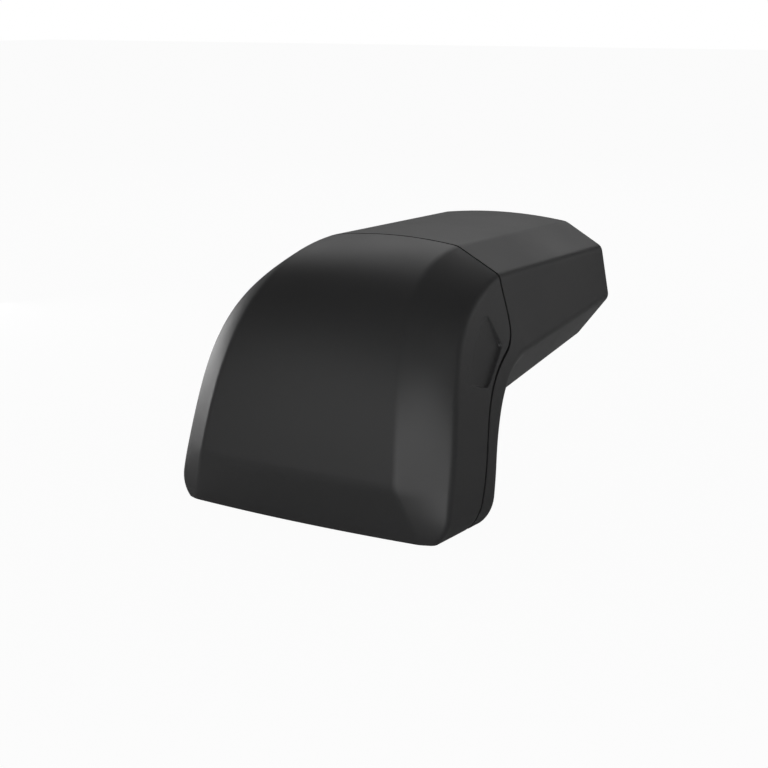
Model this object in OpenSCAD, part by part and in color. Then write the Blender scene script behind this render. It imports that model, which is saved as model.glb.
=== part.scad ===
// Roof bar foot for a bar that ends in the foot: a cast tower stands on the roof's
// fixing point, its arm carries the bar's end, and two moulded shells cover them.
// Origin: axis of the roof bolt, on the roof. +Y runs inboard along the bar, +Z is up.

/* [Outline] */
// Width across the leg at its widest, near the bottom
foot_w = 107.8; // [104:0.2:112]
// Width across the upper side creases, where the top chamfers end
shoulder_w = 83.7; // [80:0.1:86]
// Width across the sleeve's side creases at its open end
sleeve_w = 90; // [88:0.5:93]
// Height of the sleeve at its open end
sleeve_h = 45; // [44:0.5:46]
// Drop from the crown to the sleeve's side creases, at its open end
side_drop = 28.8; // [27:0.2:31]
// Width of the sleeve's floor between its two creases, at its open end
sleeve_floor_w = 64; // [58:1:68]
// Width of the flat top between its two creases
top_w = 52; // [46:1:58]
// Width of the front panel at its bottom crease
panel_w = 77.6; // [70:0.2:80]
// Height of the crown above the roof
crown_z = 90.4; // [88:0.2:94]
// Rise of the crowned top and front panels at their middle
crown = 1.8; // [0.5:0.1:3]
// Drop from the crown to the upper side crease
shoulder_drop = 10.2; // [8:0.2:11]
// Reach of the sleeve inboard of the roof bolt
reach = 121; // [118:1:140]
// Distance of the front panel ahead of the roof bolt
front_y = 20.4; // [19:0.2:24]
// Distance of the leg's rear face behind the roof bolt
rear_y = 33; // [33:0.5:36]
// Height of the front panel's bottom crease
toe_z = 20; // [17:0.5:23]
// Gap between the shells' bottom edge and the roof
edge_z = 2; // [1:0.25:3]
// Radius of the soft creases beside the top and the front panel
panel_crease_r = 4; // [2:0.5:6]
// Radius of the crisper creases along the sides
side_crease_r = 1.5; // [0.5:0.25:3]

/* [Shells] */
// Wall of the two moulded shells
wall = 2.5; // [2:0.1:3]
// Place of the parting line along the top
seam_y = 41.5; // [39:0.5:44]
// Gap in the parting line
seam_gap = 0.5; // [0.3:0.05:0.8]
// Reach of the housing's lip under the cover
lip_reach = 4; // [3:0.5:6]
// Thickness of the lip
lip_t = 1.4; // [1:0.1:2]
// Clearance between the lip and the cover
lip_gap = 0.3; // [0.2:0.05:0.6]
// Depth of the finger grips at their rear corner
grip_depth = 1.3; // [1:0.1:3]
// Diameter of the cover's locating pegs
peg_d = 6; // [5:0.25:7]

/* [Bar] */
// Thickness of the rubber beside each blunt edge of the bar
bar_margin = 1.6; // [1.2:0.1:3]
// Thickness of the aerofoil bar
bar_t = 33; // [30:0.5:34]
// Height of the bar's underside above the roof
bar_z = 51; // [50.5:0.1:52]
// Depth of the rubber gasket round the bar
gasket_l = 9; // [7:0.5:12]
// Place of the gasket's face inside the sleeve's end
gasket_in = 1.5; // [1:0.25:3]
// Skin of the bar under its channel
bar_skin = 2.5; // [2:0.1:3]
// Width of the channel's slot
slot_w = 8; // [7:0.25:9]

/* [Tower] */
// Width of the tower's leg and arm
tower_w = 50; // [46:0.5:52]
// Wall of the casting
cast_t = 5; // [4:0.25:6]
// Thickness of the arm's top plate
arm_t = 4.5; // [4:0.1:4.8]
// Inboard end of the arm
arm_end = 96; // [92:0.5:97]
// Place of the wall that stops the bar
stop_y = 36; // [34:0.5:38]
// Thickness of the saddle under the bar, at its middle
saddle_t = 2; // [1.5:0.1:2.5]
// Thickness of the rubber bumper that the bar meets
bumper_t = 3; // [2:0.5:4]
// Places of the two clamp bolts along the bar
clamp_y = [56, 84];
// Thread diameter of the clamp bolts
clamp_d = 6; // [5:1:6]
// Travel of the channel nuts when the bolts are undone
nut_travel = 2; // [1:0.5:2.5]

/* [Base] */
// Width of the rubber pad
pad_w = 84; // [76:1:86]
// Front edge of the pad, ahead of the roof bolt
pad_front = 8.5; // [7:0.5:9]
// Rear edge of the pad, behind the roof bolt
pad_rear = 28; // [26:0.5:28]
// Thickness of the rubber pad
pad_t = 5; // [4:0.25:6]
// Thickness of the steel base plate
plate_t = 3; // [2.5:0.25:4]
// Thickness of the tower's floor
floor_t = 6; // [5:0.25:7]
// Bore for the roof bolt
bolt_bore_d = 8.5; // [8.5:0.1:9]
// Outer diameter of the bush round the roof bolt
bush_d = 14; // [13:0.5:16]
// Thickness of the washer under the roof bolt's head
washer_t = 2.5; // [2:0.25:3]

/* [Hidden] */
$fn = 32;
// Overlap that makes a cut run past its face
e = 0.5;
fit = 0.1;

// Heights of the stack above the roof
plate_z = pad_t;
floor_z = plate_z + plate_t;
pocket_z = floor_z + floor_t;
arm_z = bar_z - saddle_t;
arm_low = arm_z - arm_t;

// Shape of the sides: they lean in with the square of the height above lean_z
lean_z = 7;
shoulder_z = crown_z - shoulder_drop;
lean = (foot_w - shoulder_w) / 2 / pow(shoulder_z - lean_z, 2);

// The rounded bottom edge of the sides
toe_round_z = 11;
toe_round = 9.6;

function bez(p, t) =
    pow(1 - t, 3) * p[0] + 3 * pow(1 - t, 2) * t * p[1] + 3 * (1 - t) * t * t * p[2] + pow(t, 3) * p[3];
function lerp(a, b, t) = a + (b - a) * t;
function unit(v) = v / norm(v);

// How far the bottom edge turns in at height z, as part of an ellipse
function toe_in(z) =
    let (u = 0.85 * max(0, toe_round_z - z) / (toe_round_z - edge_z))
    toe_round * (1 - sqrt(1 - u * u));
// Half width of the side at height z
function side_x(z) = foot_w / 2 - lean * pow(z - lean_z, 2) - toe_in(z);

// Six guide lines run along the foot, from the sleeve's open end over the bend and down
// the leg. In each ring: 0 the middle of the top, 1 the panel's crease, 2 the upper side
// crease, 3 the lower side crease, 4 the crease of the underside, 5 its middle.
// The sleeve is v 0 to 1, the bend and leg are v 1 to 2, and the toe is v 2 to 3.
sleeve_low = crown_z - sleeve_h;
floor_x = sleeve_floor_w / 2;
sleeve_slope = 0.17;
waist_z = 54.3;
waist_y = 49.5;
under_y = 50;
under_z = sleeve_low - sleeve_slope * (reach - under_y);
end_ring = [
    [0, reach, crown_z],
    [top_w / 2 + 0.6, reach, crown_z - crown],
    [shoulder_w / 2 - 0.3, reach, shoulder_z],
    [sleeve_w / 2, reach, crown_z - side_drop],
    [floor_x, reach, sleeve_low],
    [0, reach, sleeve_low - 0.8]];
bend = [
    [[0, seam_y, crown_z + 0.2], [0, -0.7, crown_z - 2.5],
     [0, -front_y + 8.2, 60.5], [0, -front_y, toe_z]],
    [[top_w / 2 - 0.5, seam_y, crown_z - crown + 0.2], [top_w / 2 + 1, 0, crown_z - 4.4],
     [top_w / 2 + 9.5, -front_y + 9.6, 59.7], [panel_w / 2, -front_y + 1.1, toe_z]],
    [[0, seam_y - 1.1, shoulder_z], [0, 1.2, shoulder_z - 9.6],
     [0, 0.9, 50.3], [0, -front_y + 12.4, toe_z]],
    [[0, waist_y, waist_z], [0, waist_y - 15.4, waist_z - 2.3],
     [0, 23.7, 38.5], [0, 21, toe_z]],
    [[floor_x + 1, under_y, under_z], [floor_x + 2, under_y - 10, under_z - 1.7],
     [floor_x + 4, rear_y + 0.5, under_z - 5.3], [floor_x + 4, rear_y, toe_z]],
    [[0, under_y, under_z - 0.8], [0, under_y - 10, under_z - 2.5],
     [0, rear_y + 0.5, under_z - 6.1], [0, rear_y + 0.4, toe_z]]];

// A point of guide line j on the toe, at a share u of the way down
function toe(j, u) =
    let (z = lerp(toe_z, edge_z, u), turn = toe_in(z))
    j == 0 ? [0, lerp(-front_y, -front_y + 4.3, u), z]
    : j == 1 ? [lerp(panel_w / 2, panel_w / 2 + 4.9, u), lerp(-front_y + 1.1, -front_y + 6.6, u), z]
    : j == 2 ? [side_x(z), -front_y + 12.4 - 6 * u * (1 - 0.75 * u), z]
    : j == 3 ? [side_x(z), lerp(21, 17.4, u), z]
    : j == 4 ? [floor_x + 4 - turn / 3, rear_y - turn * 0.45, z]
    : [0, rear_y + 0.4 - turn * 0.45, z];

// A point of guide line j in the bend, put on the side surface where it is a side crease
function leg(j, t) =
    let (p = bez(bend[j], t))
    j == 2 || j == 3 ? [side_x(p.z), p.y, p.z] : p;

function guide(j, v) =
    v <= 1 ? lerp(end_ring[j], leg(j, 0), v) : v <= 2 ? leg(j, v - 1) : toe(j, v - 2);
function along(j, v) =
    guide(j, min(3, v + 0.01)) - guide(j, v - 0.01);

// Outward normal of the facet between guide lines j and j + 1, taken at line k
function facet(j, k, v) = unit(cross(along(k, v), guide(j + 1, v) - guide(j, v)));

// Guide point moved in by d, along the mitre of its two facets
function inset(j, v, d) =
    let (
        a = j == 0 ? [-facet(0, 0, v).x, facet(0, 0, v).y, facet(0, 0, v).z] : facet(j - 1, j, v),
        b = j == 5 ? [-facet(4, 5, v).x, facet(4, 5, v).y, facet(4, 5, v).z] : facet(j, j, v))
    guide(j, v) - d * (a + b) / (1 + a * b);

// Three points that round the crease at q, between its neighbours p and s
function crease(p, q, s, r) =
    let (a = q + (p - q) * min(0.35, r / norm(p - q)), b = q + (s - q) * min(0.35, r / norm(s - q)))
    [a, (a + 2 * q + b) / 4, b];

// How far the shoulder facet swells at its middle: nothing on the sleeve, most in the bend
shoulder_swell = 1.4;
function swell(v) = v <= 1 || v >= 2.5 ? 0 : shoulder_swell * sin((v - 1) * 120);

// Half of a closed ring, from the middle of the top to the middle of the underside
function half_ring(v, d) =
    let (k = [for (j = [0:5]) inset(j, v, d)],
        soft = max(0.4, panel_crease_r - d), crisp = max(0.4, side_crease_r - d))
    concat(
        [for (s = [0, 0.35, 0.7])
            [k[1].x * s, lerp(k[1].y, k[0].y, 1 - s * s), lerp(k[1].z, k[0].z, 1 - s * s)]],
        crease([k[0].x, k[1].y, k[1].z], k[1], k[2], soft),
        [(k[1] + k[2]) / 2 + swell(v) * facet(1, 1, v)],
        crease(k[1], k[2], k[3], crisp),
        crease(k[2], k[3], k[4], crisp),
        crease(k[3], k[4], k[5], crisp),
        [k[5]]);
function ring(v, d) =
    let (h = half_ring(v, d), n = len(h))
    concat(h, [for (i = [n - 2:-1:1]) [-h[i].x, h[i].y, h[i].z]]);

// Places of the rings: few on the straight sleeve, many round the bend
sleeve_rings = 2;
bend_rings = 18;
toe_rings = 6;
stations = concat(
    [for (i = [1:sleeve_rings]) 0.96 * i / sleeve_rings],
    [for (i = [0:bend_rings - 1]) 1 + (i + 0.4) / bend_rings],
    [for (i = [0:toe_rings]) 2 + i / toe_rings]);

// The foot's whole outer form, moved in by d, as one closed solid. Where it is moved in it
// runs past both open ends.
module form(d) {
    past = d > 0 ? 4 : 0;
    first = ring(-past / (reach - seam_y), d);
    last = [for (p = ring(3, d)) [p.x, p.y, edge_z - past]];
    rings = concat([first], [for (v = stations) ring(v, d)], past > 0 ? [last] : []);
    n = len(rings[0]);
    m = len(rings);
    polyhedron(
        points = [for (r = rings) each r],
        faces = concat(
            [[for (i = [n - 1:-1:0]) i]],
            [for (k = [0:m - 2]) for (i = [0:n - 1])
                [k * n + i, k * n + (i + 1) % n, (k + 1) * n + (i + 1) % n, (k + 1) * n + i]],
            [[for (i = [0:n - 1]) (m - 1) * n + i]]),
        convexity = 6);
}

// Parting line in side view, from above the top down to the roof
seam_upper = [[seam_y, 80], [seam_y - 1.2, 71.1], [seam_y + 3, 61.2], [seam_y - 5.5, 56]];
seam_lower = [[seam_y - 5.5, 56], [12.6, 44.4], [18.5, 27], [9.3, 7.6]];
seam_line = concat(
    [[seam_y, crown_z + 20]],
    [for (i = [0:8]) bez(seam_upper, i / 8)],
    [for (i = [1:10]) bez(seam_lower, i / 10)],
    [[7.5, edge_z], [7.5, -10]]);
// Everything ahead of the parting line, moved by the vector by
module ahead(by) {
    side_plate(200) polygon(concat([[-80, -10], [-80, crown_z + 20]], [for (p = seam_line) p + by]));
}
// A plate of width w across X, drawn in side view as [y, z]
module side_plate(w, x = 0) {
    translate([x - w / 2, 0, 0]) rotate([90, 0, 90]) linear_extrude(w, convexity = 6) children();
}

// Finger grips in the cover's sides. The floor is flush along the front line and sinks
// with the distance behind it, so that a fingertip catches on the rear walls.
grip_outline = [[5.3, 50.1], [19.3, 46.5], [21.9, 47.9], [33.7, 58.2], [28.2, 69.3], [24.2, 68.4]];
grip_mid = [21, 58];
grip_line = unit(grip_outline[5] - grip_outline[0]);
function behind(p) = let (w = p - grip_outline[0]) w.x * grip_line.y - w.y * grip_line.x;
function grip_x(p, d) =
    side_x(p.y) - d - grip_depth * max(0, behind(p)) / behind(grip_outline[3]);
function grown(p, by) = p + unit(p - grip_mid) * by;
// The space between the grip's floor, moved in by d, and the outside
module grip(d, by) {
    for (i = [0:len(grip_outline) - 1]) {
        a = grown(grip_outline[i], by);
        b = grown(grip_outline[(i + 1) % len(grip_outline)], by);
        hull() for (p = [a, b, grip_mid], out = [0, 1])
            translate([out == 0 ? grip_x(p, d) : foot_w / 2 + 5, p.x, p.y]) cube(0.02, center = true);
    }
}
module both() {
    children();
    mirror([1, 0, 0]) children();
}
// Tools for drilling: a hole of diameter d through a wall of thickness t that starts at p,
// up along Z or level along Y
module upright(p, d, t) {
    translate([p.x, p.y, p.z - e]) cylinder(d = d, h = t + 2 * e);
}
module level(p, d, t) {
    translate([p.x, p.y - e, p.z]) rotate([-90, 0, 0]) cylinder(d = d, h = t + 2 * e);
}

// Places of the cover's pegs as [x, z], and of the ears that hold their grommets
upper_peg = [32, 60];
lower_peg = [34, 24];
upper_ear_y = 14;
lower_ear_y = 4;
ear_t = 4;

// A moulded peg with a tapered root
module peg(place, tip_y) {
    root_y = tip_y - 34;
    translate([place.x, 0, place.y]) rotate([-90, 0, 0]) {
        hull() {
            translate([0, 0, root_y]) cylinder(d = peg_d + 4, h = 1);
            translate([0, 0, tip_y - ear_t - 7]) cylinder(d = peg_d, h = 1);
        }
        hull() {
            translate([0, 0, tip_y - ear_t - 8]) cylinder(d = peg_d, h = ear_t + 6.5);
            translate([0, 0, tip_y - 1]) cylinder(d = peg_d - 2, h = 1);
        }
    }
}

module front_cover() {
    color([0.1, 0.1, 0.105]) {
        difference() {
            intersection() {
                form(0);
                ahead([-seam_gap, seam_gap * 0.6]);
            }
            difference() {
                form(wall);
                both() grip(wall, wall);
            }
            both() grip(0, 0);
        }
        intersection() {
            both() {
                peg(upper_peg, upper_ear_y + ear_t + 2);
                peg(lower_peg, lower_ear_y + ear_t + 2);
            }
            form(wall / 2);
        }
    }
}

// Height of the sleeve's outer floor at y
function under(y) = guide(5, 1 - (y - under_y) / (reach - under_y)).z;

// Screws that hold the housing up to the arm, as [x, y]
screw_d = 4;
housing_screw_at = [[14, 53], [14, 87]];
screw_seat = 3;
clamp_hole_d = 14;

// The space under the lip, which stops short of the bottom edge
module below_lip() {
    translate([0, 0, edge_z - 8]) cube([200, 200, 20], center = true);
}

module rear_housing() {
    color([0.12, 0.12, 0.125]) difference() {
        union() {
            difference() {
                form(0);
                ahead([0, 0]);
                form(wall);
            }
            // The lip under the cover's edge, with the joggle that carries it
            difference() {
                intersection() {
                    form(wall + lip_gap);
                    ahead([lip_reach / 2, -0.7]);
                }
                form(wall + lip_gap + lip_t);
                ahead([-lip_reach, 1]);
                both() grip(wall + lip_gap, wall + 2 * lip_gap);
                below_lip();
            }
            difference() {
                intersection() {
                    form(wall - e);
                    ahead([lip_reach, -1]);
                }
                form(wall + lip_gap + lip_t);
                ahead([0.4, -0.2]);
                below_lip();
            }
            both() for (p = housing_screw_at) hull() {
                translate([p.x, p.y, under(p.y) + 1]) cylinder(d = screw_d + 6, h = 1);
                translate([p.x, p.y, arm_low - 1]) cylinder(d = screw_d + 5, h = 1);
            }
            // Ribs that stiffen the leg's back
            for (x = [-27, -9, 9, 27]) hull() {
                translate([x - 0.8, rear_y - wall - 1.5, edge_z + 7]) cube([1.6, wall, 1]);
                translate([x - 0.8, rear_y - wall - 1.5, toe_z]) cube([1.6, wall, 1]);
            }
        }
        both() for (p = housing_screw_at) {
            translate([p.x, p.y, 0]) cylinder(d = screw_d + 0.4, h = 60);
            translate([p.x, p.y, 0]) cylinder(d = 2 * screw_d + 0.6, h = under(p.y) + screw_seat);
        }
        for (y = clamp_y) translate([0, y, 0]) cylinder(d = clamp_hole_d, h = arm_low - 0.5);
    }
}

// Side view of the tower's two walls
module tower_side() {
    polygon([
        [-pad_front, floor_z], [pad_rear, floor_z], [pad_rear, 31], [50, 39.2],
        [arm_end, arm_low - 0.2], [arm_end, arm_z - 1], [stop_y, arm_z - 1], [-3, arm_z - 1],
        [-pad_front, pocket_z + 4]]);
}

stop_top = 80;
rib_t = 3;
base_screw_at = [[33, -2], [31, 16]];
base_screw_d = 5;
saddle_screw_y = [44, 92];

module tower() {
    inner_w = tower_w - 2 * cast_t;
    color([0.62, 0.63, 0.65]) difference() {
        union() {
            both() side_plate(cast_t, tower_w / 2 - cast_t / 2) tower_side();
            // Floor flange, arm plate and rear web
            translate([0, 0, floor_z]) linear_extrude(floor_t)
                base_outline(pad_w / 2 - 1, pad_front - 0.5, pad_rear - 0.5);
            translate([-tower_w / 2, -3, arm_low]) cube([tower_w, arm_end + 3, arm_t]);
            translate([-tower_w / 2, pad_rear - cast_t, floor_z]) cube([tower_w, cast_t, arm_z - floor_z]);
            // Cross ribs under the arm
            for (y = [clamp_y[0] - 14, (clamp_y[0] + clamp_y[1]) / 2, arm_end - rib_t])
                side_rib(y);
            // Wall that stops the bar, with two gussets
            translate([-26, stop_y - 4, arm_z - 1]) cube([52, 4, stop_top - arm_z - 5]);
            translate([-20, stop_y - 4, arm_z - 1]) cube([40, 4, stop_top - arm_z + 1]);
            both() side_plate(rib_t, 14)
                polygon([[6, arm_z - 1], [stop_y - 2, arm_z - 1], [stop_y - 2, stop_top - 6]]);
            // Ears for the cover's grommets
            both() {
                translate([tower_w / 2 - e, lower_ear_y, pocket_z - e])
                    cube([17, ear_t, lower_peg.y - pocket_z + 7]);
                translate([upper_peg.x - 7, upper_ear_y, arm_low])
                    cube([13, ear_t, upper_peg.y - arm_low + 6]);
                translate([tower_w / 2 - 3, upper_ear_y, arm_low])
                    cube([upper_peg.x - tower_w / 2 + 9, ear_t, 10]);
            }
        }
        // Bore for the roof bolt's bush
        upright([0, 0, floor_z], bush_d + 0.2, floor_t);
        both() {
            for (p = base_screw_at)
                upright([p.x, p.y, floor_z], base_screw_d + 0.1, floor_t);
            level([upper_peg.x, upper_ear_y, upper_peg.y], peg_d + 3.2, ear_t);
            level([lower_peg.x, lower_ear_y, lower_peg.y], peg_d + 3.2, ear_t);
            for (p = housing_screw_at)
                upright([p.x, p.y, arm_low], screw_d - 0.2, arm_t);
        }
        for (y = clamp_y) upright([0, y, arm_low], clamp_d + 0.6, arm_t);
        for (y = saddle_screw_y) upright([0, y, arm_low], screw_d - 0.2, arm_t);
        // Sockets for the bumper's pegs
        for (z = [bar_z + 9, bar_z + 21]) level([0, stop_y - 4, z], 6.2, 4);
    }
    // A cross rib whose lower edge follows the side walls
    module side_rib(y) {
        intersection() {
            side_plate(inner_w + 1) tower_side();
            translate([-tower_w / 2, y, 0]) cube([tower_w, rib_t, arm_z]);
        }
    }
}

// Outline of the base in plan: wide at the front, its rear corners cut back
module base_outline(half_w, front, rear) {
    r = 5;
    corner = [for (a = [0:15:90]) [half_w - r + r * cos(a), -front + r - r * sin(a)]];
    right = concat([[half_w - 10, rear], [half_w, 8]], corner);
    polygon(concat(right, [for (i = [len(right) - 1:-1:0]) [-right[i].x, right[i].y]]));
}

pad_peg_at = [20, 14];
pad_peg_d = 6;

module base_plate() {
    color([0.35, 0.36, 0.38]) difference() {
        translate([0, 0, plate_z]) linear_extrude(plate_t) base_outline(pad_w / 2, pad_front, pad_rear);
        upright([0, 0, plate_z], bush_d + 0.2, plate_t);
        both() {
            upright([pad_peg_at.x, pad_peg_at.y, plate_z], pad_peg_d + 0.2, plate_t);
            for (p = base_screw_at) translate([p.x, p.y, plate_z]) countersink(base_screw_d + 0.3);
        }
    }
}
// Clearance hole with its countersink, opening downwards at z 0
module countersink(d) {
    translate([0, 0, -e]) cylinder(d = d, h = 12);
    translate([0, 0, -e]) cylinder(d1 = 2 * d + 2 * e, d2 = d, h = d / 2 + e);
}

module base_pad() {
    groove_w = 2;
    color([0.06, 0.06, 0.06]) difference() {
        union() {
            linear_extrude(pad_t) base_outline(pad_w / 2, pad_front, pad_rear);
            both() translate([pad_peg_at.x, pad_peg_at.y, pad_t - e])
                cylinder(d = pad_peg_d, h = plate_t - 0.3 + e);
        }
        upright([0, 0, 0], bush_d + 0.6, pad_t);
        // Grooves of the tread
        for (x = [-36:8:36]) if (abs(x) > bush_d / 2 + 3)
            translate([x - groove_w / 2, -pad_front - e, -e])
                cube([groove_w, pad_front + pad_rear + 2 * e, 1.5 + e]);
    }
}

module bolt_bush() {
    color([0.7, 0.7, 0.72]) difference() {
        union() {
            cylinder(d = bush_d, h = pocket_z + 1);
            translate([0, 0, pocket_z]) cylinder(d = bush_d + 4, h = 2);
        }
        translate([0, 0, -e]) cylinder(d = bolt_bore_d, h = pocket_z + 4);
    }
}

module bolt_washer() {
    color([0.75, 0.75, 0.77]) translate([0, 0, pocket_z + 2]) difference() {
        cylinder(d = bush_d + 8, h = washer_t);
        translate([0, 0, -e]) cylinder(d = bolt_bore_d + 0.3, h = washer_t + 2 * e);
    }
}

module base_screws() {
    head_h = base_screw_d / 2;
    color([0.7, 0.7, 0.72]) both() for (p = base_screw_at)
    translate([p.x, p.y, plate_z + 0.2]) difference() {
        union() {
            cylinder(d1 = 2 * base_screw_d, d2 = base_screw_d, h = head_h);
            cylinder(d = base_screw_d, h = plate_t + floor_t - 0.6);
        }
        translate([0, 0, -e]) cylinder(d = 3, h = 1.6 + e, $fn = 6);
    }
}

// The bar's edges are cut off blunt, this far from where its two arcs meet
bar_blunt = 1.5;
// Half width inside the sleeve's walls, where the top of the bar's blunt edge comes
sleeve_half = let (low = inset(3, 0, wall), high = inset(2, 0, wall), z = bar_z + bar_t / 2 + bar_blunt)
    lerp(low.x, high.x, max(0, z - low.z) / (high.z - low.z));
// Width that the bar's arcs would have without their cut
bar_w = 2 * (sleeve_half - bar_margin + bar_blunt);
bar_r = (pow(bar_w / 2, 2) + pow(bar_t / 2, 2)) / bar_t;
// Section of the bar: two arcs that meet at its edges, seen along the bar
module bar_section(gap) {
    intersection() {
        translate([0, bar_z + bar_r]) circle(bar_r + gap, $fn = 96);
        translate([0, bar_z + bar_t - bar_r]) circle(bar_r + gap, $fn = 96);
        translate([-bar_w / 2 + bar_blunt - gap, 0])
            square([bar_w - 2 * bar_blunt + 2 * gap, 2 * crown_z]);
    }
}
// A section drawn as [x, z], carried from y a to y b
module along_bar(a, b) {
    translate([0, b, 0]) rotate([90, 0, 0]) linear_extrude(b - a, convexity = 6) children();
}

saddle_w = 46;
saddle_end = arm_end + 2;
module bar_saddle() {
    rise = bar_r - sqrt(bar_r * bar_r - saddle_w * saddle_w / 4);
    color([0.16, 0.16, 0.17]) difference() {
        along_bar(stop_y + bumper_t + 0.3, saddle_end) difference() {
            translate([-saddle_w / 2, arm_z]) square([saddle_w, saddle_t + rise - 0.2]);
            translate([0, bar_z + bar_r]) circle(bar_r, $fn = 96);
        }
        for (y = clamp_y) translate([0, y, arm_z - e]) cylinder(d = clamp_d + 0.6, h = 10);
        for (y = saddle_screw_y) translate([0, y, arm_z - e]) {
            cylinder(d = screw_d + 0.3, h = 10);
            translate([0, 0, e + 0.3]) cylinder(d1 = screw_d + 0.3, d2 = 2 * screw_d, h = saddle_t);
        }
    }
}

module saddle_screws() {
    color([0.75, 0.75, 0.77]) for (y = saddle_screw_y) translate([0, y, 0]) difference() {
        union() {
            translate([0, 0, arm_low]) cylinder(d = screw_d - 0.3, h = arm_t + 0.6);
            translate([0, 0, arm_z + 0.4]) cylinder(d1 = screw_d, d2 = 2 * screw_d - 1, h = saddle_t - 0.6);
        }
        translate([0, 0, bar_z - 1]) cylinder(d = 2.5, h = 4, $fn = 6);
    }
}

bumper_w = 48;
module bar_stop() {
    color([0.06, 0.06, 0.06]) {
        along_bar(stop_y, stop_y + bumper_t) difference() {
            intersection() {
                bar_section(-2);
                translate([-bumper_w / 2, 0]) square([bumper_w, 2 * crown_z]);
            }
            translate([-bumper_w, bar_z - 1]) square([2 * bumper_w, 5]);
        }
        for (z = [bar_z + 9, bar_z + 21])
            translate([0, stop_y - 3.5, z]) rotate([-90, 0, 0]) cylinder(d = 6, h = 4);
    }
}

module end_gasket() {
    face_y = reach - gasket_in;
    v = gasket_in / (reach - seam_y);
    color([0.06, 0.06, 0.06]) along_bar(face_y - gasket_l, face_y) difference() {
        polygon([for (p = ring(v, wall + 0.2)) [p.x, max(p.z, inset(5, 0, wall + 0.2).z)]]);
        bar_section(0.3);
    }
}

module housing_screws() {
    color([0.75, 0.75, 0.77]) both() for (p = housing_screw_at) translate([p.x, p.y, 0]) difference() {
        union() {
            translate([0, 0, under(p.y) + screw_seat - 2.4]) cylinder(d = 2 * screw_d - 0.4, h = 2.4);
            translate([0, 0, under(p.y) + screw_seat - 1])
                cylinder(d = screw_d - 0.3, h = arm_z + 0.4 - under(p.y) - screw_seat);
        }
        translate([0, 0, under(p.y) + screw_seat - 3]) cylinder(d = 3, h = 2.2, $fn = 6);
    }
}

clamp_washer_t = 1.2;
clamp_washer_d = 12;
module clamp_washers() {
    color([0.75, 0.75, 0.77]) for (y = clamp_y) translate([0, y, arm_low - clamp_washer_t]) difference() {
        cylinder(d = clamp_washer_d, h = clamp_washer_t);
        translate([0, 0, -e]) cylinder(d = clamp_d + 0.4, h = clamp_washer_t + 2 * e);
    }
}

nut_t = 5;
nut_l = 18;
nut_w = 15;
nut_low = bar_z + 0.3;
// The bolt's end stays in its nut through the nut's whole travel
bolt_top = nut_low + bar_skin + nut_t + nut_travel;
// Button-headed bolt, its head under the washer and its thread up through the channel nut
module clamp_bolt(y) {
    head_h = 3.3;
    seat = arm_low - clamp_washer_t;
    color([0.55, 0.55, 0.58]) translate([0, y, 0]) difference() {
        union() {
            translate([0, 0, seat - head_h])
                cylinder(d1 = 1.3 * clamp_d, d2 = 1.75 * clamp_d, h = head_h * 0.55);
            translate([0, 0, seat - head_h * 0.45]) cylinder(d = 1.75 * clamp_d, h = head_h * 0.45);
            translate([0, 0, seat - 1]) cylinder(d = clamp_d, h = bolt_top - seat + 1);
        }
        translate([0, 0, seat - head_h - e]) cylinder(d = 4.6, h = 2.1 + e, $fn = 6);
    }
}
module channel_nut(y) {
    color([0.7, 0.7, 0.72]) difference() {
        union() {
            translate([-nut_w / 2, y - nut_l / 2, nut_low + bar_skin + 0.3]) cube([nut_w, nut_l, nut_t]);
            translate([-slot_w / 2 + fit, y - nut_l / 2, nut_low])
                cube([slot_w - 2 * fit, nut_l, bar_skin + 1]);
        }
        translate([0, y, nut_low - e]) cylinder(d = clamp_d + fit, h = bar_skin + nut_t + 2);
    }
}
module outboard_clamp_bolt() { clamp_bolt(clamp_y[0]); }
module inboard_clamp_bolt() { clamp_bolt(clamp_y[1]); }
module outboard_channel_nut() { channel_nut(clamp_y[0]); }
module inboard_channel_nut() { channel_nut(clamp_y[1]); }

// Rubber grommet that grips a peg of the cover, its flange on the ear's front
module grommets(place, ear_y) {
    color([0.08, 0.08, 0.08]) both()
    translate([place.x, ear_y, place.y]) rotate([-90, 0, 0]) difference() {
        union() {
            translate([0, 0, -1.5]) cylinder(d = peg_d + 5.5, h = 1.5);
            translate([0, 0, -1]) cylinder(d = peg_d + 3, h = ear_t + 1);
        }
        translate([0, 0, -2]) cylinder(d = peg_d + 2 * fit, h = ear_t + 3);
    }
}
module upper_grommets() { grommets(upper_peg, upper_ear_y); }
module lower_grommets() { grommets(lower_peg, lower_ear_y); }

front_cover();
rear_housing();
tower();
base_plate();
base_pad();
bolt_bush();
bolt_washer();
base_screws();
bar_saddle();
saddle_screws();
bar_stop();
end_gasket();
housing_screws();
clamp_washers();
upper_grommets();
lower_grommets();
outboard_clamp_bolt();
inboard_clamp_bolt();
outboard_channel_nut();
inboard_channel_nut();
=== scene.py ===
# %% [markdown]
# A roof bar foot carries the end of a roof rack's bar. A cast tower is bolted to the car's roof,
# and two moulded plastic shells cover it: a front cover that pulls off, and a rear housing whose
# sleeve takes the bar. The model of the parts is made already and gives every size. This notebook
# dresses it: it makes the shells as smooth surfaces, rounds the edges of the small parts, cuts
# their threads, and gives each a finish. Lengths are written in millimetres.

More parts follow.
